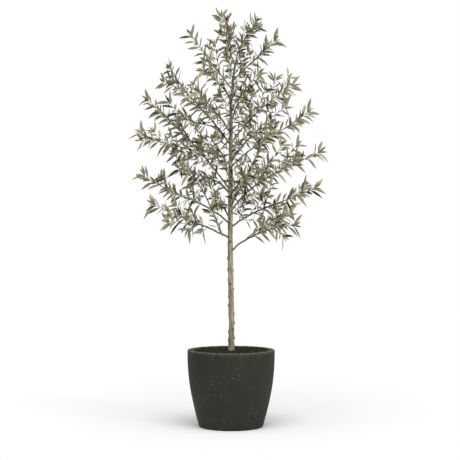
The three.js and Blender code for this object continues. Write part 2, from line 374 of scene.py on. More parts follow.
def clay_material(settings):
    """Dark pitted clay with dashes of pale grit in patches, and pale along the lip by the wear_and_highlight
    attribute: partly real rubbed wear, partly a painted highlight on the lip's top."""
    shader = Shader("planter clay")
    cloud = shader.noise(scale=9.0, detail=4.0)
    grain = shader.noise(scale=520.0, detail=2.0)
    chips = shader.noise(scale=95.0, detail=5.0, rough=0.7)
    dashes = shader.noise(scale=125.0, detail=1.0, rough=0.4, stretch=(1, 1, 3.0))
    patches = shader.noise(scale=11.0, detail=2.0, rough=0.5, shift=(0.35, 0.2, 0.6))
    grit = shader.maths("MULTIPLY", shader.ramp(dashes, 0.653, 0.688), shader.ramp(patches, 0.43, 0.55))
    sides = shader.mix(cloud, shaded(settings.clay, 0.93), shaded(settings.clay, 1.1))
    sides = shader.mix(grit, sides, shaded(settings.clay, 4.6))
    # painted highlight and wear: the top of the lip is made pale
    edge = shader.maths("MULTIPLY", shader.attribute("wear_and_highlight"), shader.ramp(chips, 0.44, 0.55, start=0.1))
    rubbed_and_highlit = shader.mix(grain, shaded(settings.rim_wear_and_highlight, 0.6), shaded(settings.rim_wear_and_highlight, 1.35))
    roughness = shader.ramp(cloud, 0.3, 0.7, start=0.68, end=0.78)
    pits = shader.maths("ADD", grain, chips)
    return shader.finish(shader.mix(edge, sides, rubbed_and_highlit), roughness, specular=0.3, bump=pits, depth=0.0006)


def compost_material(name, colour, settings):
    """Damp crumbly compost: fine lumps from light to dark, drier in places."""
    shader = Shader(name)
    lump = shader.noise(scale=160.0, detail=6.0, rough=0.7)
    dry = shader.ramp(shader.noise(scale=22.0), 0.5, 0.8, end=0.5)
    base = shader.mix(shader.ramp(lump, 0.35, 0.68), shaded(colour, 0.45), shaded(colour, 1.5))
    base = shader.mix(dry, base, shaded(settings.crumb, 0.5))
    return shader.finish(base, 0.92, specular=0.2, bump=lump, depth=0.003)


def bark_material(settings):
    """Grey bark with upright streaks, darker in its patches, flecks and scars. By the youth attribute it
    turns to the brown of young wood and then to the green of this year's shoots."""
    shader = Shader("olive bark")
    streak = shader.noise(scale=230.0, detail=5.0, rough=0.65, stretch=(1, 1, 0.10))
    patch = shader.noise(scale=70.0, detail=4.0, rough=0.6, stretch=(1, 1, 0.25))
    flecks = shader.noise(scale=420.0, detail=3.0, rough=0.6, stretch=(1, 1, 0.35))
    fleck = shader.ramp(flecks, 0.62, 0.72, end=0.6)
    deep, light = shaded(settings.bark, 0.45), shaded(settings.bark, 1.55)
    base = shader.mix(shader.ramp(streak, 0.32, 0.68), deep, light)
    base = shader.mix(shader.ramp(patch, 0.50, 0.62, end=0.6), base, shaded(settings.furrow, 2.2))
    base = shader.mix(fleck, base, settings.furrow)
    base = shader.mix(shader.attribute("scar"), base, settings.furrow)
    youth = shader.attribute("youth")
    base = shader.mix(shader.ramp(youth, 0.0, 0.7), base, settings.shoot)
    base = shader.mix(shader.ramp(youth, 0.75, 1.0), base, settings.soft)
    return shader.finish(base, 0.78, specular=0.2, bump=streak, depth=0.0012)


def leaf_material(name, colour, roughness):
    """Leathery leaf: fine mottling over the blade, with the soft gloss of an evergreen."""
    shader = Shader(name)
    mottle = shader.noise(scale=240.0, rough=0.6)
    broad = shader.noise(scale=7.0, detail=2.0)
    base = shader.mix(shader.ramp(mottle, 0.3, 0.7), shaded(colour, 0.78), shaded(colour, 1.18))
    base = shader.mix(shader.ramp(broad, 0.35, 0.65, end=0.35), base, shaded(colour, 0.72))
    return shader.finish(base, roughness, specular=0.16, bump=mottle, depth=0.0004)


def floor_material():
    """Matt white floor."""
    shader = Shader("studio floor")
    veil = shader.noise(scale=0.6, detail=2.0)
    return shader.finish(shader.mix(veil, (0.965, 0.962, 0.95), (0.975, 0.972, 0.96)), 0.95, specular=0.0)


# ---------------------------------------------------------------- planter and compost


def arc(radius_at, height_at, radius, start, end, count):
    """Points of a round in the (radius, height) plane, from one angle to another in degrees."""
    angle = np.radians(np.linspace(start, end, count))
    return np.stack([radius_at + radius * np.cos(angle), height_at + radius * np.sin(angle)], -1)


def line(start, end, count):
    """Points along a straight line, without its first point."""
    return np.linspace(start, end, count + 1)[1:]


def lathe(profile, columns):
    """A profile of (radius, height) turned about Z, from its pole at the foot to its pole at the end.
    The profile's first and last points lie on the axis and become single poles."""
    angle = np.arange(columns) * 2 * np.pi / columns
    body = profile[1:-1]
    radius, height = body[:, :1], body[:, 1:] + np.zeros((1, columns))
    rings = np.stack([radius * np.cos(angle), radius * np.sin(angle), height], -1)
    verts = np.concatenate([rings.reshape(-1, 3), [[0, 0, profile[0, 1]], [0, 0, profile[-1, 1]]]])
    return verts, grid_faces(len(body), columns), cap_faces(len(body), columns)


def outer_radius(z, settings):
    """The planter's outer radius at a height: straight at the rim, and a parabola in to the foot."""
    below = np.maximum(0, settings.belly_top - z) / settings.belly_top
    return POT_HIGH.x - (POT_HIGH.x - settings.foot_radius) * below**2


def inner_radius(z, settings):
    """The cavity's radius, a wall's thickness inside the outer radius."""
    return outer_radius(z, settings) - (POT_HIGH.x - settings.mouth_radius)


# the depth to which the lip is fully worn and painted pale, partly wear and partly a painted highlight, how
# fast that fades below, how far it goes on inside the mouth, how deep the chips go in and down, and the
# sides' unevenness
LIP_BAND = 0.0015
LIP_FADE = 0.0016
MOUTH_BAND = 0.002
CHIP_IN = 0.0009
CHIP_DOWN = 0.0012
SIDE_SWELL = 0.00035


def build_planter(settings):
    """The planter is a profile turned about its axis: flat foot, rounded edge, swelling side, rounded lip
    and inner wall. Small ripples roughen the lip and give the side a faint unevenness."""
    height, foot, lip = POT_HIGH.z, settings.foot_round, settings.lip_round
    floor_level = COMPOST_LOW.z
    flat = outer_radius(foot, settings) - foot
    sides = np.linspace(foot, settings.belly_top, SIDE_STEPS)[1:]
    walls = np.linspace(height - lip, floor_level, WALL_STEPS)[1:]
    profile = np.concatenate(
        [
            [[0, 0]],
            line((0, 0), (flat, 0), FLAT_STEPS),
            arc(flat, foot, foot, -90, 0, FOOT_STEPS)[1:],
            np.stack([outer_radius(sides, settings), sides], -1),
            arc(POT_HIGH.x - lip, height - lip, lip, 0, 90, LIP_STEPS),
            arc(settings.mouth_radius + lip, height - lip, lip, 90, 180, LIP_STEPS),
            np.stack([inner_radius(walls, settings), walls], -1),
            [[0, floor_level]],
        ]
    )
    verts, quads, triangles = lathe(profile, PLANTER_COLUMNS)
    rng = np.random.default_rng(11)
    angle = np.arctan2(verts[:, 1], verts[:, 0])
    radius = np.hypot(verts[:, 0], verts[:, 1])
    z = verts[:, 2]
    # the lip's band that is chipped and painted pale: partly real wear, partly a painted highlight on its top
    lip_wear_and_highlight = np.exp(-np.maximum(0, height - LIP_BAND - z) / LIP_FADE)
    lip_wear_and_highlight = lip_wear_and_highlight * (radius > settings.mouth_radius - MOUTH_BAND)
    chips = ripple(rng, 60, (8, 110), (0, 400))(angle, z + radius)
    swell = ripple(rng, 30, (1, 7), (4, 40))(angle, z)
    outside = (radius > inner_radius(z, settings) + 0.01) & (z > foot)
    inward = np.maximum(CHIP_IN * lip_wear_and_highlight * np.maximum(chips, -0.4) + SIDE_SWELL * swell * outside, 0)
    verts[:, :2] *= (1 - inward / np.maximum(radius, 1e-6) * (radius > 1e-6))[:, None]
    verts[:, 2] -= CHIP_DOWN * lip_wear_and_highlight * np.maximum(chips, 0)
    obj = make_object(
        "planter_body", verts, quads, triangles, [clay_material(settings)], attributes={"wear_and_highlight": lip_wear_and_highlight}
    )
    keep(obj, "planter", "planter")


# the compost's clearance to the wall, its fall from the middle to the edge, the depth of its surface
# layer, its ripples' number, wave numbers, height and lowering, and the crumbs' distance from its edge
WALL_GAP = 0.0012
COMPOST_FALL = 0.005
COMPOST_DEPTH = 0.05
RIPPLES = 40
RIPPLE_WAVES = (250, 1500)
RIPPLE_HEIGHT = 0.00035
RIPPLE_DROP = 0.0012
CRUMB_MARGIN = 0.004


def compost_level(radius, settings):
    """The compost's height: level with the mound at the trunk and a parabola down to the edge."""
    edge = inner_radius(COMPOST_HIGH.z, settings)
    return COMPOST_HIGH.z - COMPOST_FALL * np.minimum(1, radius / edge) ** 2


def build_compost(settings):
    """The compost is a turned profile whose top is roughened by ripples of many sizes, and on it lie
    loose crumbs."""
    rim = inner_radius(COMPOST_HIGH.z, settings) - WALL_GAP
    depth = COMPOST_HIGH.z - COMPOST_DEPTH
    top = np.linspace(rim, 0, COMPOST_STEPS)
    profile = np.concatenate(
        [
            [[0, depth]],
            line((0, depth), (inner_radius(depth, settings) - WALL_GAP, depth), 4),
            np.stack([top, compost_level(top, settings)], -1),
        ]
    )
    verts, quads, triangles = lathe(profile, COMPOST_COLUMNS)
    rng = np.random.default_rng(5)
    surface = verts[:, 2] > COMPOST_HIGH.z - 0.02
    x, y = verts[:, 0], verts[:, 1]
    numbers = rng.uniform(*RIPPLE_WAVES, RIPPLES)
    headings = rng.uniform(0, 7, RIPPLES)
    phases = rng.uniform(0, 7, RIPPLES)
    waves = zip(numbers, headings, phases)
    fine = sum(np.sin(x * k * np.cos(a) + y * k * np.sin(a) + p) for k, a, p in waves)
    verts[:, 2] += surface * (RIPPLE_HEIGHT * fine - RIPPLE_DROP)
    damp = compost_material("damp compost", settings.compost, settings)
    bed = make_object("compost_bed", verts, quads, triangles, [damp])
    keep(bed, "compost", "compost")
    scatter_crumbs(settings, rim - CRUMB_MARGIN, rng)


# the smallest crumb, how much larger the largest is, their height against their width, how deep they
# sit, how far below the planter's lip their tops stay, and the share that is dry
CRUMB_SIZE = 0.0011
CRUMB_GAIN = 0.0026
CRUMB_SQUASH = 0.7
CRUMB_SINK = 0.0007
CRUMB_CLEAR = 0.0045
DRY_SHARE = 0.22


def scatter_crumbs(settings, reach, rng):
    """Loose crumbs out to a reach, each a squashed eight-sided lump turned its own way."""
    count = settings.crumbs
    radius = reach * np.sqrt(rng.uniform(0.006, 1, count))
    angle = rng.uniform(0, 2 * np.pi, count)
    size = CRUMB_SIZE + CRUMB_GAIN * rng.power(0.55, count) ** 3
    middle = np.stack([radius * np.cos(angle), radius * np.sin(angle), compost_level(radius, settings)], -1)
    middle[:, 2] = np.minimum(middle[:, 2] - CRUMB_SINK + 0.25 * size, POT_HIGH.z - CRUMB_CLEAR)
    corners = np.array([[1, 0, 0], [0, 1, 0], [-1, 0, 0], [0, -1, 0], [0, 0, 1], [0, 0, -1]], float)
    upper = [[i, (i + 1) % 4, 4] for i in range(4)]
    lower = [[(i + 1) % 4, i, 5] for i in range(4)]
    faces = np.array(upper + lower)
    turn = rng.uniform(0, 2 * np.pi, count)[:, None]
    lumps = corners[None] * rng.uniform(0.6, 1.3, (count, 6, 1)) * size[:, None, None]
    x, y, z = lumps[..., 0], lumps[..., 1], CRUMB_SQUASH * lumps[..., 2]
    spun = np.stack([x * np.cos(turn) - y * np.sin(turn), x * np.sin(turn) + y * np.cos(turn), z], -1)
    dry = (rng.uniform(size=count) < DRY_SHARE).astype(int)
    crumbs = make_object(
        "compost_crumbs",
        (spun + middle[:, None]).reshape(-1, 3),
        np.empty((0, 4), int),
        (faces[None] + len(corners) * np.arange(count)[:, None, None]).reshape(-1, 3),
        [
            compost_material("dark crumbs", shaded(settings.compost, 1.15), settings),
            compost_material("dry crumbs", settings.crumb, settings),
        ],
        np.repeat(dry, len(faces)),
        smooth=False,
    )
    keep(crumbs, "compost", "compost")


# ---------------------------------------------------------------- trunk


# the number of rings in the trunk's CAD solid
CAD_RINGS = 15


def trunk_line():
    """The trunk's centre and radius by height, read from the rings of its CAD solid: the middle of each
    ring, and half its mean width."""
    points = node_points("trunk")
    levels = np.linspace(points[:, 2].min(), points[:, 2].max(), CAD_RINGS)
    nearest = np.argmin(np.abs(points[:, 2:3] - levels[None]), axis=1)
    centres, radii = [], []
    for i in range(len(levels)):
        ring = points[nearest == i]
        centre = (ring.min(0) + ring.max(0)) / 2
        centres.append(centre)
        radii.append(np.linalg.norm((ring - centre)[:, :2], axis=1).mean())
    return np.array(centres), np.array(radii)


def smooth_interp(x, knots, values):
    """A curve through the values: Hermite pieces whose slopes are the mean slopes at the knots."""
    slopes = np.gradient(values, knots, axis=0)
    i = np.clip(np.searchsorted(knots, x) - 1, 0, len(knots) - 2)
    span = knots[i + 1] - knots[i]
    t = (x - knots[i]) / span
    if values.ndim > 1:
        t, span = t[:, None], span[:, None]
    through = (1 + 2 * t) * (1 - t) ** 2 * values[i] + t**2 * (3 - 2 * t) * values[i + 1]
    return through + span * (t * (1 - t) ** 2 * slopes[i] - t**2 * (1 - t) * slopes[i + 1])


TRUNK_CENTRES, TRUNK_RADII = trunk_line()


def trunk_at(z):
    """The trunk's centre and radius at heights z."""
    z = np.clip(z, TRUNK_CENTRES[0, 2], TRUNK_CENTRES[-1, 2])
    centre = smooth_interp(z, TRUNK_CENTRES[:, 2], TRUNK_CENTRES[:, :2])
    radius = smooth_interp(z, TRUNK_CENTRES[:, 2], TRUNK_RADII)
    return np.column_stack([centre, z]), radius


# pruning scars up the clear stem: height, and the side they are on in degrees from +X to +Y
SCARS = (
    (0.396, 196), (0.405, 340), (0.433, 200), (0.447, 300), (0.474, 350), (0.516, 345), (0.555, 190),
    (0.593, 215), (0.630, 335), (0.672, 205), (0.715, 10), (0.718, 190), (0.770, 185), (0.655, 262),
    (0.540, 90), (0.612, 70), (0.700, 110), (0.745, 60), (0.846, 275), (0.930, 255), (1.010, 285),
)


# how far the trunk goes down into the compost, and the share of the bark's relief left where it is thin
TRUNK_SUNK = 0.004
THIN_RELIEF = 0.3
# the step and height of the rings where leaves once grew, and the lumps' height against the ridges'
TRUNK_RING_STEP = 0.031
TRUNK_RING_HEIGHT = 0.0004
LUMP_SHARE = 1.1
# a scar is a bump, a little taller than wide, with a dimple in it and a dark stain round it: the depth
# and width of the dimple, the width of the stain and how dark it gets
SCAR_SQUASH = 0.8
DIMPLE_DEPTH = 0.8
DIMPLE_WIDTH = 0.42
STAIN_WIDTH = 0.9
STAIN_DARKEST = 0.9
# the height where the trunk starts to look young, the height over which it would get fully young, and
# the youth that it has at its tip, as every bough and shoot has at its foot
YOUNG_FROM = 1.35
YOUNG_OVER = 0.5
WOODY = 0.35


def build_trunk(settings, bark):
    """The trunk is rings of its radius round its line, raised by ridges that run along it, by broad
    lumps, by low rings where leaves grew and by a dimpled bump at each scar. It closes in at its tip."""
    z = np.linspace(TRUNK_LOW.z - TRUNK_SUNK, TRUNK_HIGH.z, TRUNK_ROWS)
    centre, radius = trunk_at(z)
    centre[:, 2] = z
    angle = np.arange(TRUNK_COLUMNS) * 2 * np.pi / TRUNK_COLUMNS
    heights, angles = np.meshgrid(z, angle, indexing="ij")
    rng = np.random.default_rng(3)
    ridges = ripple(rng, 70, (7, 26), (0, 90))(angles, heights)
    lumps = ripple(rng, 40, (1, 5), (8, 120))(angles, heights)
    rings = 0.5 + 0.5 * np.cos(2 * np.pi * heights / TRUNK_RING_STEP + 2 * np.sin(9 * heights))
    relief = settings.ridge * ridges + LUMP_SHARE * settings.ridge * lumps + TRUNK_RING_HEIGHT * rings**6
    scar = np.zeros_like(heights)
    for height, side in SCARS:
        away = np.angle(np.exp(1j * (angles - np.radians(side)))) * np.interp(height, z, radius)
        distance = np.hypot(away, (heights - height) * SCAR_SQUASH) / settings.knot_radius
        dimple = DIMPLE_DEPTH * np.exp(-((distance / DIMPLE_WIDTH) ** 2))
        relief += settings.knot_height * (np.exp(-(distance**2)) - dimple)
        scar += np.exp(-((distance / STAIN_WIDTH) ** 2))
    fade = np.clip(radius / TRUNK_RADII[2], THIN_RELIEF, 1)[:, None]
    wide = radius[:, None] + relief * fade
    wide[-1] *= 0.5
    offsets = np.stack([wide * np.cos(angles), wide * np.sin(angles), np.zeros_like(wide)], -1)
    youth = np.clip((heights - YOUNG_FROM) / YOUNG_OVER, 0, WOODY)
    obj = make_object(
        "trunk_bark",
        np.concatenate([(centre[:, None] + offsets).reshape(-1, 3), centre[:1], centre[-1:]]),
        grid_faces(TRUNK_ROWS, TRUNK_COLUMNS),
        cap_faces(TRUNK_ROWS, TRUNK_COLUMNS),
        [bark],
        attributes={
            "scar": np.append(np.clip(scar, 0, STAIN_DARKEST), [0, 0]),
            "youth": np.append(youth, [0, WOODY]),
        },
    )
    keep(obj, "bark", "trunk")


# ---------------------------------------------------------------- boughs

# how far the last leaves reach past the end of a bough, and the turn from one side shoot to the next
TUFT_LENGTH = 0.044
GOLDEN = np.radians(137.5)

# A bough whose line, carried back over these shares of its length, comes within this reach of the
# trunk's centre grows from the trunk. Another one starts that far back in the bough that it forks from.
BACK_MARKS = np.linspace(-0.12, 0.05, 60)
BACK_REACH = 0.012
# a bough's leaves start this far past the near end of its foliage solid
LEAF_MARGIN = 0.02
# the share of a bough's line over which the way it runs is measured
AHEAD = 0.01


class Bough:
    """One bough's line, from inside the wood it grows from to its tip: a cubic of the share along it."""

    def __init__(self, limb, spray):
        limb_points, spray_points = node_points(limb), node_points(spray)
        near = limb_points[np.argmax(np.linalg.norm(limb_points - spray_points.mean(0), axis=1))]
        far = spray_points[np.argmax(np.linalg.norm(spray_points - limb_points.mean(0), axis=1))]
        chord = far - near
        points = np.concatenate([limb_points, spray_points])
        t = (points - near) @ chord / (chord @ chord)
        self.fit = [np.polyfit(t, points[:, axis], 3) for axis in range(3)]
        self.span = np.linalg.norm(chord)
        self.on_trunk, self.base = self.find_base()
        self.bare = ((spray_points - near) @ chord / (chord @ chord)).min() + LEAF_MARGIN / self.span

    def at(self, t):
        """Points of the fitted cubic."""
        return np.stack([np.polyval(self.fit[axis], t) for axis in range(3)], -1)

    def find_base(self):
        """Whether the bough grows from the trunk, and the share of its line where it starts."""
        points = self.at(BACK_MARKS)
        centre, _ = trunk_at(points[:, 2])
        apart = np.linalg.norm(points - centre, axis=1)
        best = np.argmin(apart)
        on_trunk = apart[best] < BACK_REACH
        return on_trunk, BACK_MARKS[best] if on_trunk else -BACK_REACH / self.span

    def point_and_axis(self, t):
        """A point of the line and the way it runs there."""
        point, ahead = self.at(np.array([t, t + AHEAD]))
        return point, unit(ahead - point)

    def path(self, end, step):
        """Evenly stepped points from the base to a share of the line."""
        marks = np.linspace(self.base, end, int((end - self.base) * self.span / step) + 3)
        return self.at(marks), marks


def find_boughs():
    """The boughs' lines, numbered from the lowest up."""
    return [Bough(limb, spray) for limb, spray in zip(BOUGH_NODES, SPRAY_NODES)]


# the height of the lowest bough's foot, and how far above it the highest one's is
LOWEST_FOOT = 0.8
FOOT_RANGE = 0.85
# the foot of a bough that forks off another one, against one on the trunk
FORK_FOOT = 0.72
# the swelling and the length of the collar where a bough leaves the trunk
COLLAR_SWELL = 0.75
COLLAR_LENGTH = 0.009
# how far a bough's line wavers, the step of the rings where its leaves grew, and the height of its
# ridges and rings against its radius
WAVER = 0.00035
BOUGH_RING_STEP = 0.021
BOUGH_RIDGE = 0.09
BOUGH_RING = 0.16


def bough_radius(bough, marks, settings):
    """A bough's radius: a taper from its foot to its tip, with a short collar where it leaves the trunk."""
    height = np.clip((bough.at(0.0)[2] - LOWEST_FOOT) / FOOT_RANGE, 0, 1)
    foot = settings.limb_radius + (settings.limb_radius_top - settings.limb_radius) * height
    if not bough.on_trunk:
        foot *= FORK_FOOT
    along = (marks - marks[0]) / (marks[-1] - marks[0])
    radius = foot * (1 - along) ** 0.8 + settings.tip_radius * (1 - (1 - along) ** 4)
    collar = COLLAR_SWELL * foot * np.exp(-(marks - marks[0]) * bough.span / COLLAR_LENGTH)
    return radius + collar * bough.on_trunk


def build_boughs(settings, boughs, bark):
    """Each bough is a tube along its line, its radius uneven with ridges and with a low ring at each
    place where leaves grew. All are joined into one piece."""
    rng = np.random.default_rng(17)
    parts, youths, scars = [], [], []
    angle = np.arange(BOUGH_SIDES) * 2 * np.pi / BOUGH_SIDES
    for bough in boughs:
        path, marks = bough.path(1 - TUFT_LENGTH / bough.span, BOUGH_STEP)
        wobble = rng.normal(0, 1, (3, 5))
        along = (marks - marks[0])[:, None] * bough.span
        waves = np.sin(along * np.array([31, 53, 79, 127, 181]) + rng.uniform(0, 7, 5))
        path = path + (waves * WAVER) @ wobble.T * np.clip(along / 0.03, 0, 1)
        radius = bough_radius(bough, marks, settings)
        ridges = ripple(rng, 24, (1, 6), (20, 400))(angle[None], along)
        rings = (0.5 + 0.5 * np.cos(2 * np.pi * along / BOUGH_RING_STEP)) ** 8
        full = radius[:, None] * (1 + BOUGH_RIDGE * ridges + BOUGH_RING * rings)
        parts.append(tube(path, full, BOUGH_SIDES))
        youth = np.clip(WOODY + (marks - marks[0]) / (marks[-1] - marks[0]), 0, 1)
        youths.append(round_rings(youth, BOUGH_SIDES, youth[0], youth[-1]))
        dark = np.clip(rings[:, 0] * 0.5, 0, 1) * (1 - youth)
        scars.append(round_rings(dark, BOUGH_SIDES, 0, 0))
    youth, scar = np.concatenate(youths), np.concatenate(scars)
    obj = make_object("bough_limbs", *join(parts), [bark], attributes={"youth": youth, "scar": scar})
    keep(obj, "bark", *BOUGH_NODES)


# ---------------------------------------------------------------- shoots and leaves


# where a leaf joins its shoot, its heading, the way its upper side faces, its size against a full-grown
# one, how young it is from 0 to 1, its spray's tone from -1 to 1, and its sag as a share of its length
Leaf = namedtuple("Leaf", "point heading face size young tone sag")

# pairs of leaves along a shoot: how much wider apart they are on shoots that run to the front or back,
# their steps against the spacing, how near the tip they stop, and the distance over which the way the
# shoot runs is measured
DEPTH_SPACING = 0.5
PAIR_STEPS = (0.8, 1.2)
TIP_MARGIN = 0.005
BESIDE = 0.006
# the angle a leaf opens to at a shoot's foot in degrees, how much it closes by the tip, and its spread
OPENING = 60
CLOSING = 15
OPENING_SPREAD = 8
# the share of the leaves that has fallen, the share that is small and how much more of those are on top,
# the sizes of small and large ones, their size at a shoot's foot and its gain by the tip, and how young
# a small one is
FALLEN = 0.05
SMALL_SHARE = 0.32
SMALL_ON_TOP = 0.12
SMALL_SIZES = (0.42, 0.7)
LARGE_SIZES = (0.88, 1.14)
SIZE_AT_FOOT = 0.78
SIZE_GAIN = 0.24
SMALL_YOUTH = 0.35
# the leaves of a tuft at a shoot's tip: the side they are on in radians, the angle they open to in
# degrees, their size and how young they are
TUFT = (
    (0.0, 34, 1.14, 0.0),
    (np.pi, 44, 1.08, 0.0),
    (1.6, 26, 0.8, 0.4),
    (4.7, 26, 0.72, 0.4),
    (0.3, 9, 0.6, 1.0),
)
TUFT_SPREAD = 10
TUFT_SIZES = (0.9, 1.08)
# a bud's leaves: the angle they open to and its spread in degrees, their sizes and how young they are
BUD_OPENING = 20
BUD_SPREAD = 6
BUD_SIZES = (0.34, 0.56)
BUD_YOUTH = 0.75
# how far inside the tip a tuft's leaves and past its angle a bud's leaves sit, and how far out from its
# shoot's middle every leaf sits
JOINT = 0.004
SKIN = 0.001
# how far a leaf above its shoot lifts and one below hangs, how its blade turns from edge up, and the
# ranges of its sag on top and of what it gains towards the underside
LIFT = 0.14
HANG = 0.04
BLADE_TURN = 0.36
SAG_ON_TOP = (0.01, 0.08)
SAG_BELOW = (0.1, 0.38)
# a side shoot's rise towards the light, its waver and how far along it its first leaves are
SHOOT_RISE = 0.22
SHOOT_WAVER = 0.0012
FIRST_LEAVES = 0.014


class Growth:
    """The shoots and leaves as they grow, kept as lists until they become meshes."""

    def __init__(self, rng, settings, tip_radius):
        self.rng = rng
        self.settings = settings
        self.tip_radius = tip_radius
        self.shoots = []
        self.leaves = []

    def across(self, axis):
        """The two directions square to an axis: the upward one and the level one."""
        upward = unit(UP - (UP @ axis) * axis + 1e-6)
        return upward, np.cross(axis, upward)

    def point_at(self, path, travelled, mark):
        """The point at a distance along a path."""
        return np.array([np.interp(mark, travelled, path[:, i]) for i in range(3)])

    def direction(self, path, travelled, mark):
        """The way a path runs at a distance along it."""
        ahead, behind = min(mark + BESIDE, travelled[-1]), max(mark - BESIDE, 0)
        return unit(self.point_at(path, travelled, ahead) - self.point_at(path, travelled, behind))

    def pairs(self, path, start, vigour, tone):
        """Pairs of leaves along a path of points: each pair sits a quarter turn round from the one
        before and opens at an angle that closes towards the tip. Small leaves grow among the large ones,
        and some have a sprouting bud in their angle. Pairs stand wider apart on a path that runs to the
        front or back. The path ends in a tuft."""
        rng = self.rng
        steps = np.linalg.norm(np.diff(path, axis=0), axis=1)
        travelled = np.concatenate([[0], np.cumsum(steps)])
        total = travelled[-1]
        run = unit(path[-1] - path[0])
        spacing = self.settings.node_spacing * (1 + DEPTH_SPACING * run[1] ** 2)
        turn = rng.uniform(0, 2 * np.pi) * 0.25
        mark = start + rng.uniform(0, 0.4) * spacing
        while mark < total - TIP_MARGIN:
            point = self.point_at(path, travelled, mark)
            axis = self.direction(path, travelled, mark)
            upward, level = self.across(axis)
            along = mark / total
            for side in (0, np.pi):
                if rng.uniform() < FALLEN:
                    continue
                quarter = turn + side + rng.normal(0, 0.22)
                radial = np.cos(quarter) * upward + np.sin(quarter) * level
                opening = np.radians(rng.normal(OPENING - CLOSING * along, OPENING_SPREAD))
                small = rng.uniform() < SMALL_SHARE + SMALL_ON_TOP * radial[2]
                growth = rng.uniform(*SMALL_SIZES) if small else rng.uniform(*LARGE_SIZES)
                size = vigour * (SIZE_AT_FOOT + SIZE_GAIN * along) * growth
                self.leaf(point, axis, radial, opening, size, SMALL_YOUTH * small, tone)
                if rng.uniform() < self.settings.buds:
                    self.bud(point, axis, radial, vigour, tone)
            mark += spacing * rng.uniform(*PAIR_STEPS)
            turn += np.pi / 2
        self.tuft(path[-1], self.direction(path, travelled, total), vigour, tone)

    def tuft(self, tip, axis, vigour, tone):
        """Leaves at a shoot's tip: a large pair spread in a V, a smaller pair a quarter turn round from
        it, and a small pale one nearly in line with the shoot."""
        rng = self.rng
        upward, level = self.across(axis)
        turn = rng.normal(0, 0.35)
        for side, spread, share_of_size, young in TUFT:
            radial = np.cos(turn + side) * upward + np.sin(turn + side) * level
            opening = np.radians(rng.normal(spread, TUFT_SPREAD))
            size = vigour * share_of_size * rng.uniform(*TUFT_SIZES)
            self.leaf(tip - axis * JOINT, axis, radial, opening, size, young, tone)

    def bud(self, point, axis, radial, vigour, tone):
        """A sprouting bud between a leaf and the shoot: two or three small leaves close together."""
        rng = self.rng
        heading = unit(axis + 0.7 * radial)
        level = np.cross(heading, radial)
        for side in (-1, 1, 0)[: rng.integers(2, 4)]:
            lean = unit(side * level + 0.4 * radial + 0.2 * rng.normal(0, 1, 3))
            lean = unit(lean - (lean @ heading) * heading)
            opening = np.radians(rng.normal(BUD_OPENING, BUD_SPREAD))
            size = vigour * rng.uniform(*BUD_SIZES)
            self.leaf(point + JOINT * heading, heading, lean, opening, size, BUD_YOUTH, tone)

    def leaf(self, point, axis, radial, opening, size, young, tone):
        """One leaf: it leans out from the shoot by its angle, those above the shoot lift a little and
        those below hang and sag more. Its blade stands edge up, with its upper side mostly towards the
        shoot's tip, and is turned a little at random."""
        rng = self.rng
        hang = LIFT * radial[2] if radial[2] > 0 else HANG * radial[2] * (1 - young)
        heading = unit(np.cos(opening) * axis + np.sin(opening) * radial + hang * UP)
        upright = unit(np.cross(heading, UP) + 0.15 * np.cross(axis, radial))
        side = 1 if upright @ axis > rng.normal(0, 0.5) else -1
        face = side * upright + 0.2 * UP + rng.normal(0, BLADE_TURN, 3)
        face = unit(face - (face @ heading) * heading)
        sag = rng.uniform(*SAG_ON_TOP) + rng.uniform(*SAG_BELOW) * np.clip(0.3 - radial[2], 0, 1.1)
        sag = sag * (1 - 0.6 * young)
        self.leaves.append(Leaf(point + radial * SKIN, heading, face, size, young, tone, sag))

    def shoot(self, start, axis, away, reach, lift, vigour, tone, radius):
        """A side shoot: it leaves at its angle and curves up towards the light, as a quadratic of the
        distance along it."""
        rng = self.rng
        heading = unit(axis + away)
        s = np.linspace(0, 1, SHOOT_POINTS)[:, None]
        bend = unit(UP * lift + axis * 0.35)
        path = start + reach * (s * heading + SHOOT_RISE * s**2 * bend)
        path = path + SHOOT_WAVER * np.sin(9 * s + rng.uniform(0, 7)) * rng.normal(0, 1, 3) * s
        self.shoots.append((path, radius + (self.tip_radius - radius) * s[:, 0] ** 0.8))
        self.pairs(path, FIRST_LEAVES, vigour, tone)
        return path


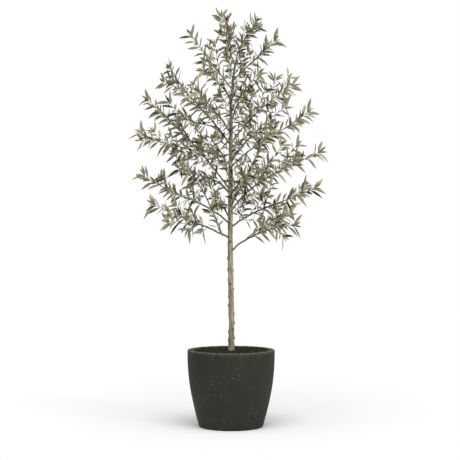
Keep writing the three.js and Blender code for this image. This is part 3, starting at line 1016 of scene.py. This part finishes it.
# long shoots that fork off a bough: the bough's number, the share of its line, the side it leaves on in
# degrees round the bough from its upper side, the angle it opens to, its length and its lift
FORKS = (
    (1, 0.62, 180, 50, 0.045, -0.6),
    (3, 0.10, 0, 42, 0.090, 0.6),
    (3, 0.34, 150, 24, 0.125, 0.1),
    (3, 0.40, 180, 60, 0.040, -0.9),
    (3, 0.26, 180, 55, 0.024, -0.8),
    (5, 0.08, 0, 38, 0.100, 0.6),
    (5, 0.20, 0, 24, 0.140, 0.5),
    (5, 0.45, 180, 30, 0.070, 0.0),
    (5, 0.12, 180, 40, 0.070, 0.0),
    (5, 0.72, 0, 30, 0.050, 0.6),
    (6, 0.12, 0, 40, 0.120, 0.6),
    (6, 0.30, 0, 25, 0.080, 0.4),
    (8, 0.08, 180, 35, 0.100, 0.0),
    (8, 0.12, 0, 22, 0.090, 0.5),
    (8, 0.30, 0, 20, 0.180, 0.4),
    (8, 0.44, 0, 17, 0.160, 0.3),
    (13, 0.15, 0, 32, 0.130, 0.5),
    (13, 0.22, 180, 35, 0.090, 0.1),
    (13, 0.30, 0, 30, 0.120, 0.5),
    (14, 0.16, 180, 30, 0.080, 0.3),
    (14, 0.05, 0, 35, 0.060, 0.5),
    (14, 0.72, 180, 35, 0.050, 0.2),
    (18, 0.62, 180, 27, 0.110, 0.0),
    (18, 0.74, 180, 35, 0.050, 0.2),
    (20, 0.33, 0, 45, 0.090, 0.8),
    (20, 0.62, 0, 45, 0.085, 0.8),
    (20, 0.72, 0, 22, 0.080, 0.4),
    (25, 0.25, 0, 30, 0.110, 0.6),
    (26, 0.14, 0, 48, 0.060, 0.8),
    (27, 0.14, -80, 28, 0.140, 0.9),
    (28, 0.14, 90, 30, 0.110, 0.9),
)

# share of the spurs up to a height on the trunk
SPUR_SHARES = (0.0, 0.22, 0.50, 1.0)
SPUR_HEIGHTS = (0.95, 1.14, 1.33, 1.655)


# side shoots: how many fewer there are on boughs that run to the front or back, the angles in degrees
# at which they leave, and their lengths at a bough's tip, gain towards its foot and random ranges
FEWER_IN_DEPTH = 0.3
SIDE_ANGLES = (28, 44)
REACH_AT_TIP = 0.35
REACH_GAIN = 0.65
REACHES = (0.6, 1.05)
# how much longer they are where they point to the front or back, and how much of the bough ahead of
# them they reach along, with a little more
LONGER_IN_DEPTH = 0.5
REACH_AHEAD = 0.9
REACH_PAST = 0.02
# the length from which a side shoot may fork, how often one does, the point of its path where the fork
# leaves, and the fork's length against its own
FORK_FROM = 0.095
FORK_CHANCE = 0.6
FORK_POINT = 5
FORK_REACH = 0.5
# radii at the foot of a side shoot, of its fork, and of a long fork or a spur
SIDE_RADIUS = 0.0016
TWIG_RADIUS = 0.0011
LONG_RADIUS = 0.0018
# the spurs' lengths, and the height above which they steepen and over what rise they do
SPUR_REACHES = (0.06, 0.12)
STEEP_FROM = 1.45
STEEP_OVER = 0.2


def grow_bough(growth, bough, settings):
    """Pairs of leaves all along the leafy part of a bough, and side shoots at even spacing, turned on by
    the golden angle, shorter towards the tip, some of them forking once. Boughs that run to the front or
    back have fewer side shoots, and side shoots that point there are longer."""
    rng = growth.rng
    end = 1 - TUFT_LENGTH / bough.span
    path, _ = bough.path(end, LEAFY_STEP)
    tone = rng.uniform(-1, 1)
    start = max(0.0, (bough.bare - bough.base)) * bough.span
    growth.pairs(path, start, 1.0, tone)
    total = (end - bough.base) * bough.span
    leafy = settings.shoot_end * (total - start)
    run = unit(path[-1] - path[0])
    count = max(1, int(leafy / settings.shoot_spacing * (1 - FEWER_IN_DEPTH * run[1] ** 2)))
    turn = rng.uniform(0, 2 * np.pi)
    for k in range(count):
        mark = max(start + (k + rng.uniform(-0.25, 0.25)) * leafy / count, 0.3 * start)
        point, axis = bough.point_and_axis(bough.base + mark / bough.span)
        upward, level = growth.across(axis)
        turn += GOLDEN
        radial = (0.2 + 0.65 * np.cos(turn)) * upward + np.sin(turn) * level
        left = 1 - (mark - start) / (total - start)
        reach = settings.shoot_length * (REACH_AT_TIP + REACH_GAIN * left) * rng.uniform(*REACHES)
        deeper = 1 + LONGER_IN_DEPTH * abs(unit(radial)[1])
        reach = min(reach, REACH_AHEAD * (total - mark) + REACH_PAST) * deeper
        away = radial * np.tan(np.radians(rng.uniform(*SIDE_ANGLES)))
        shade = np.clip(tone + rng.normal(0, 0.5), -1, 1)
        lift = rng.uniform(0.2, 1.0)
        shoot = growth.shoot(point, axis, away, reach, lift, vigour=0.8, tone=shade, radius=SIDE_RADIUS)
        if reach > FORK_FROM and rng.uniform() < FORK_CHANCE:
            foot = shoot[FORK_POINT]
            axis = unit(shoot[FORK_POINT + 1] - foot)
            away = unit(np.cross(axis, radial)) * rng.choice([-0.8, 0.8])
            reach = reach * FORK_REACH
            growth.shoot(foot, axis, away, reach, 0.6, vigour=0.75, tone=tone, radius=TWIG_RADIUS)


def grow(boughs, settings, tip_radius):
    """The branching rule: every bough grows its leaves and side shoots, then the long forks, then the
    spurs straight from the trunk, turned on by the golden angle and steeper towards its top."""
    rng = np.random.default_rng(settings.seed)
    growth = Growth(rng, settings, tip_radius)
    for bough in boughs:
        grow_bough(growth, bough, settings)
    for number, along, side, opening, reach, lift in FORKS:
        point, axis = boughs[number - 1].point_and_axis(along)
        upward, level = growth.across(axis)
        radial = np.cos(np.radians(side)) * upward + np.sin(np.radians(side)) * level
        away = radial * np.tan(np.radians(opening))
        tone = rng.uniform(-0.8, 0.5)
        growth.shoot(point, axis, away, reach, lift, vigour=0.86, tone=tone, radius=LONG_RADIUS)
    for k in range(settings.spurs):
        z = np.interp((k + rng.uniform(0, 0.6)) / settings.spurs, SPUR_SHARES, SPUR_HEIGHTS)
        point = trunk_at(np.array([z]))[0][0]
        outward = np.array([np.cos(k * GOLDEN), np.sin(k * GOLDEN), 0.0])
        rise = UP * (rng.uniform(0.5, 1.1) + 1.2 * max(0.0, z - STEEP_FROM) / STEEP_OVER)
        reach = rng.uniform(*SPUR_REACHES)
        tone = rng.uniform(-1, 0.3)
        growth.shoot(point, outward, rise, reach, 0.5, vigour=0.8, tone=tone, radius=LONG_RADIUS)
    return growth


# a leaf's outline: its width at shares of its length, against its greatest, and its columns across
LEAF_STATIONS = np.array([0.0, 0.07, 0.22, 0.43, 0.66, 0.86, 1.0])
LEAF_OUTLINE = np.array([0.09, 0.18, 0.66, 1.0, 0.90, 0.46, 0.03])
LEAF_COLUMNS = np.array([-1.0, -0.13, 0.13, 1.0])
# the blade's thickness, how much thicker its midrib is, the ranges of its width and of the slope of its
# fold, the mean and spread of its curl, and the spread of its bend to one side
BLADE_THICK = 0.00008
RIB_THICK = 0.00035
LEAF_WIDTHS = (0.85, 1.12)
LEAF_FOLDS = (0.3, 0.85)
LEAF_CURL = (0.04, 0.06)
LEAF_SWAY = 0.03


def leaf_mesh(leaves, settings, rng):
    """Leaves as thin closed blades. Each is a grid of stations along it and columns across. Across is the
    column times half the width times the outline, and along is the station times the length. Out of the
    blade it folds up from the midrib and curls back with the square of the station. It sags by its own
    share of its length times the square of the station. The underside is the same grid, a little lower
    between its edges."""
    base, heading, face, size, _, _, sag = (np.array(values) for values in zip(*leaves))
    count = len(leaves)
    across = np.cross(heading, face)
    long = (settings.leaf_length * size)[:, None, None]
    wide = (settings.leaf_width * size * rng.uniform(*LEAF_WIDTHS, count))[:, None, None]
    fold = rng.uniform(*LEAF_FOLDS, count)[:, None, None]
    curl = rng.normal(*LEAF_CURL, count)[:, None, None]
    sway = rng.normal(0, LEAF_SWAY, count)[:, None, None]
    s, o, c = LEAF_STATIONS[None, :, None], LEAF_OUTLINE[None, :, None], LEAF_COLUMNS[None, None, :]
    x = 0.5 * wide * o * c + sway * long * s**2
    lift = 0.5 * wide * o * fold * np.abs(c) - curl * long * s**2
    y = long * s + 0 * c
    thick = RIB_THICK * (np.abs(c) < 0.5) + BLADE_THICK
    upper = np.stack([x, y, lift + 0 * x], -1)
    lower = np.stack([x, y, lift - thick * (o > 0.05)], -1)
    local = np.concatenate([upper.reshape(count, -1, 3), lower.reshape(count, -1, 3)], 1)
    verts = base[:, None] + local @ np.stack([across, heading, face], 1)
    verts[..., 2] -= np.tile((sag[:, None, None] * long * s**2 + 0 * c).reshape(count, -1), 2)
    faces, kinds = leaf_faces(len(LEAF_STATIONS), len(LEAF_COLUMNS))
    quads = (faces[None] + local.shape[1] * np.arange(count)[:, None, None]).reshape(-1, 4)
    return verts.reshape(-1, 3), quads, np.tile(kinds, count)


def leaf_faces(stations, columns):
    """A blade's quads and their materials: the upper side with its midrib, the underside, the two edges
    and the two ends."""
    half = stations * columns
    row, column = np.meshgrid(np.arange(stations - 1), np.arange(columns - 1), indexing="ij")
    corner = row * columns + column
    top = np.stack([corner, corner + 1, corner + columns + 1, corner + columns], -1).reshape(-1, 4)
    here = np.arange(stations - 1) * columns
    left = np.stack([here, here + columns, here + columns + half, here + half], -1)
    here = here + columns - 1
    right = np.stack([here, here + half, here + columns + half, here + columns], -1)
    near = np.arange(columns - 1)
    foot = np.stack([near, near + half, near + 1 + half, near + 1], -1)
    tip = foot[:, ::-1] + (stations - 1) * columns
    faces = np.concatenate([top, top[:, ::-1] + half, left, right, foot, tip])
    rib = (column.reshape(-1) == 1).astype(int)
    return faces, np.concatenate([rib, np.full(len(faces) - len(top), 2)])


# the crown's middle height, and the distances outwards and upwards from the middle to its edge
CROWN_MIDDLE = 1.45
CROWN_RADIUS = 0.3
CROWN_RISE = 0.35
# a leaf's mood: the weight of its spray's tone, its own spread, the weight of the painted shade that darkens
# leaves deeper in the crown and the depth at which it changes nothing, and the moods that part dark, middle
# and pale leaves
TONE_WEIGHT = 0.12
MOOD_SPREAD = 0.6
PAINTED_SHADE_WEIGHT = 0.35
PAINTED_SHADE_NEUTRAL = 0.6
MOOD_MARKS = (-0.34, 0.26)
# the range of youth above which a leaf may look fresh, and how much lighter a midrib is than its blade
FRESH_YOUTHS = (0.35, 1.1)
RIB_LIGHTER = 1.7


def leaf_kinds(leaves, rng):
    """The number of each leaf's tint: fresh ones by their age, and the others dark, middle or pale by
    their spray's tone, at random, and darker the deeper in the crown they are, as painted shade."""
    base, _, _, _, young, tone, _ = (np.array(values) for values in zip(*leaves))
    radius = np.hypot(base[:, 0], base[:, 1])
    outward = np.maximum(radius / CROWN_RADIUS, (base[:, 2] - CROWN_MIDDLE) / CROWN_RISE)
    mood = tone * TONE_WEIGHT + rng.normal(0, MOOD_SPREAD, len(leaves))
    # painted shade: leaves deeper inside the crown get darker tints
    mood += PAINTED_SHADE_WEIGHT * (np.clip(outward, 0, 1) - PAINTED_SHADE_NEUTRAL)
    fresh = young > rng.uniform(*FRESH_YOUTHS, len(leaves))
    return np.where(fresh, 3, np.digitize(mood, MOOD_MARKS))


def build_foliage(leaf_settings, wood_settings, boughs, bark):
    """Shoots joined into one piece, and leaves into one piece for each tint."""
    growth = grow(boughs, leaf_settings, wood_settings.tip_radius)
    verts, quads, triangles = join([tube(path, radii, SHOOT_SIDES) for path, radii in growth.shoots])
    youth = round_rings(np.linspace(WOODY, 1, SHOOT_POINTS), SHOOT_SIDES, WOODY, 1)
    attributes = {"youth": np.tile(youth, len(growth.shoots)), "scar": np.zeros(len(verts))}
    shoots = make_object("shoots", verts, quads, triangles, [bark], attributes=attributes)
    keep(shoots, "bark", *SPRAY_NODES)

    rng = np.random.default_rng(leaf_settings.seed + 1)
    under = leaf_material("leaf undersides", leaf_settings.underside, 0.75)
    tints = (
        ("leaves_dark", leaf_settings.dark, 0.42),
        ("leaves_middle", leaf_settings.middle, 0.46),
        ("leaves_pale", leaf_settings.pale, 0.5),
        ("leaves_fresh", leaf_settings.fresh, 0.5),
    )
    kinds = leaf_kinds(growth.leaves, rng)
    for kind, (name, colour, roughness) in enumerate(tints):
        chosen = [growth.leaves[index] for index in np.nonzero(kinds == kind)[0]]
        verts, quads, slots = leaf_mesh(chosen, leaf_settings, rng)
        blade = leaf_material(name.replace("_", " "), colour, roughness)
        rib = leaf_material(name.replace("_", " ") + " midrib", shaded(colour, RIB_LIGHTER), roughness)
        obj = make_object(name, verts, quads, None, [blade, rib, under], slots)
        keep(obj, "foliage", *SPRAY_NODES)


# ---------------------------------------------------------------- stage


# the spot lamp at the front right: its place, what it shines at, its watts, colour and radius, and its
# cone in degrees with its soft edge
LAMP_PLACE = (3.2, -2.7, 1.35)
LAMP_AIM = (0, 0, 1.32)
LAMP_WATTS = 520
LAMP_COLOUR = (1.0, 0.975, 0.92)
LAMP_RADIUS = 0.5
LAMP_CONE = 27
LAMP_BLEND = 0.2
# the broad light from above and in front: its strength, and its width and tilts in degrees
SKY_STRENGTH = 2.5
SKY_WIDTH = 62
SKY_TILT_BACK = 26
SKY_TILT_SIDE = 2


def build_world(settings):
    """Even daylight from all round, dimmed from the white that the backdrop shows to the camera."""
    world = bpy.data.worlds.new("studio")
    world.use_nodes = True
    tree = world.node_tree
    background = tree.nodes["Background"]
    background.inputs["Color"].default_value = (1.0, 1.0, 1.0, 1.0)
    seen = tree.nodes.new("ShaderNodeMapRange")
    seen.inputs["To Min"].default_value = settings.daylight
    tree.links.new(tree.nodes.new("ShaderNodeLightPath").outputs["Is Camera Ray"], seen.inputs["Value"])
    tree.links.new(seen.outputs[0], background.inputs["Strength"])
    return world


def place(name, data):
    """An object for a lamp or a camera, put in the scene."""
    obj = bpy.data.objects.new(name, data)
    bpy.context.scene.collection.objects.link(obj)
    return obj


def build_stage(settings):
    """A wide white floor, dim even daylight before a white backdrop, a broad light from above and in
    front, a spot lamp at the front right for the trunk and crown, and a level camera at the height of
    the lowest boughs."""
    scene = bpy.context.scene
    scene.view_settings.view_transform = "Standard"
    scene.world = build_world(settings)

    ring = np.arange(FLOOR_SIDES)
    angle = ring * 2 * np.pi / FLOOR_SIDES
    rim = np.stack([np.cos(angle), np.sin(angle), np.zeros(FLOOR_SIDES)], -1) * settings.floor_radius
    verts = np.concatenate([rim, [[0, 0, 0]]])
    fans = np.stack([np.full(FLOOR_SIDES, FLOOR_SIDES), ring, (ring + 1) % FLOOR_SIDES], -1)
    floor = make_object("studio_floor", verts, np.empty((0, 4), int), fans, [floor_material()], smooth=False)

    spot = bpy.data.lights.new("spot lamp", "SPOT")
    spot.energy = LAMP_WATTS
    spot.color = LAMP_COLOUR
    spot.shadow_soft_size = LAMP_RADIUS
    spot.spot_size = np.radians(LAMP_CONE)
    spot.spot_blend = LAMP_BLEND
    lamp = place("spot lamp", spot)
    lamp.location = LAMP_PLACE
    lamp.rotation_euler = (Vector(LAMP_AIM) - lamp.location).to_track_quat("-Z", "Y").to_euler()
    sky = bpy.data.lights.new("overhead light", "SUN")
    sky.energy = SKY_STRENGTH
    sky.angle = np.radians(SKY_WIDTH)
    place("overhead light", sky).rotation_euler = (np.radians(SKY_TILT_BACK), np.radians(SKY_TILT_SIDE), 0)

    optics = bpy.data.cameras.new("camera")
    optics.lens = settings.lens_mm
    optics.sensor_width = settings.sensor_mm
    camera = place("camera", optics)
    camera.location = (settings.camera_side, -settings.camera_distance, settings.camera_height)
    camera.rotation_euler = (np.pi / 2, 0, 0)
    scene.camera = camera


# ---------------------------------------------------------------- operators, panel and running

SHARED = {}


def shared_bark():
    """One bark material for all the wood."""
    if "bark" not in SHARED:
        SHARED["bark"] = bark_material(bpy.context.scene.olive_wood)
    return SHARED["bark"]


def shared_boughs():
    """The boughs' lines, fitted once."""
    if "boughs" not in SHARED:
        SHARED["boughs"] = find_boughs()
    return SHARED["boughs"]


class OLIVE_OT_stage(bpy.types.Operator):
    """Lay the floor and set the lights and the camera"""

    bl_idname = "olive.stage"
    bl_label = "Stage"

    def execute(self, context):
        build_stage(context.scene.olive_stage)
        return {"FINISHED"}


class OLIVE_OT_planter(bpy.types.Operator):
    """Turn the planter"""

    bl_idname = "olive.planter"
    bl_label = "Planter"

    def execute(self, context):
        build_planter(context.scene.olive_planter)
        return {"FINISHED"}


class OLIVE_OT_compost(bpy.types.Operator):
    """Fill the planter with compost and scatter its crumbs"""

    bl_idname = "olive.compost"
    bl_label = "Compost"

    def execute(self, context):
        build_compost(context.scene.olive_planter)
        return {"FINISHED"}


class OLIVE_OT_trunk(bpy.types.Operator):
    """Build the trunk with its bark"""

    bl_idname = "olive.trunk"
    bl_label = "Trunk"

    def execute(self, context):
        build_trunk(context.scene.olive_wood, shared_bark())
        return {"FINISHED"}


class OLIVE_OT_boughs(bpy.types.Operator):
    """Build the boughs"""

    bl_idname = "olive.boughs"
    bl_label = "Boughs"

    def execute(self, context):
        build_boughs(context.scene.olive_wood, shared_boughs(), shared_bark())
        return {"FINISHED"}


class OLIVE_OT_foliage(bpy.types.Operator):
    """Grow the shoots and leaves"""

    bl_idname = "olive.foliage"
    bl_label = "Foliage"

    def execute(self, context):
        scene = context.scene
        build_foliage(scene.olive_leaves, scene.olive_wood, shared_boughs(), shared_bark())
        return {"FINISHED"}


OPERATORS = (
    OLIVE_OT_stage,
    OLIVE_OT_planter,
    OLIVE_OT_compost,
    OLIVE_OT_trunk,
    OLIVE_OT_boughs,
    OLIVE_OT_foliage,
)


class OLIVE_PT_panel(bpy.types.Panel):
    """The tree's operators in the sidebar"""

    bl_label = "Olive Tree"
    bl_idname = "OLIVE_PT_panel"
    bl_space_type = "VIEW_3D"
    bl_region_type = "UI"
    bl_category = "Olive Tree"

    def draw(self, context):
        for operator in OPERATORS:
            self.layout.operator(operator.bl_idname)


GROUPS = {
    "olive_planter": PlanterSettings,
    "olive_wood": WoodSettings,
    "olive_leaves": LeafSettings,
    "olive_stage": StageSettings,
}


def register():
    """Registers the classes and puts the settings on the scene."""
    for group in GROUPS.values():
        bpy.utils.register_class(group)
    for operator in OPERATORS:
        bpy.utils.register_class(operator)
    bpy.utils.register_class(OLIVE_PT_panel)
    for name, group in GROUPS.items():
        setattr(bpy.types.Scene, name, bpy.props.PointerProperty(type=group))


def unregister():
    """Takes back what register does."""
    for name in GROUPS:
        delattr(bpy.types.Scene, name)
    bpy.utils.unregister_class(OLIVE_PT_panel)
    for operator in reversed(OPERATORS):
        bpy.utils.unregister_class(operator)
    for group in GROUPS.values():
        bpy.utils.unregister_class(group)


def main():
    register()
    for operator in OPERATORS:
        group, name = operator.bl_idname.split(".")
        getattr(getattr(bpy.ops, group), name)()


if __name__ == "__main__":
    main()
